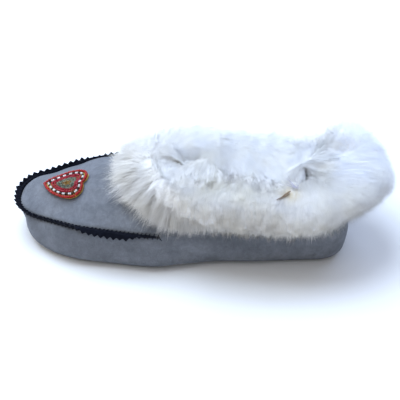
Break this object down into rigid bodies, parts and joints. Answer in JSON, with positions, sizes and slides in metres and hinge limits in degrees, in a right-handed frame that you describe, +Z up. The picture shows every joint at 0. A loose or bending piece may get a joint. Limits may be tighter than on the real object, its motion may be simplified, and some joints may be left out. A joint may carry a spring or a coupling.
{
  "type": "beaded moccasin",
  "caption": "Low slip-on moccasin slipper in soft grey suede with a deep white fur collar, a black pinked toe seam and a beaded heart on the toe.",
  "frame": {"origin": "on the floor, on the flat underside of the outsole, halfway along the foot", "axes": "+Y towards the heel, +X towards the lateral side, +Z up"},
  "size_m": [0.1117, 0.2829, 0.0755],
  "materials": {
    "suede": "matt grey suede with a short nap",
    "sole_leather": "matt charcoal",
    "fleece": "cream fleece pile",
    "fur": "long soft white fur",
    "felt": "matt black felt",
    "yellow_leather": "matt yellow-tan leather",
    "beads": "glossy opaque glass seed beads"
  },
  "bodies": {
    "root": {"side_wall": "suede", "vamp": "suede", "outsole": "sole_leather", "insole": "fleece", "fur_collar": "fur", "seam_strip": "felt", "heart_backing": "yellow_leather", "heart_beads": "beads"}
  },
  "joints": []
}
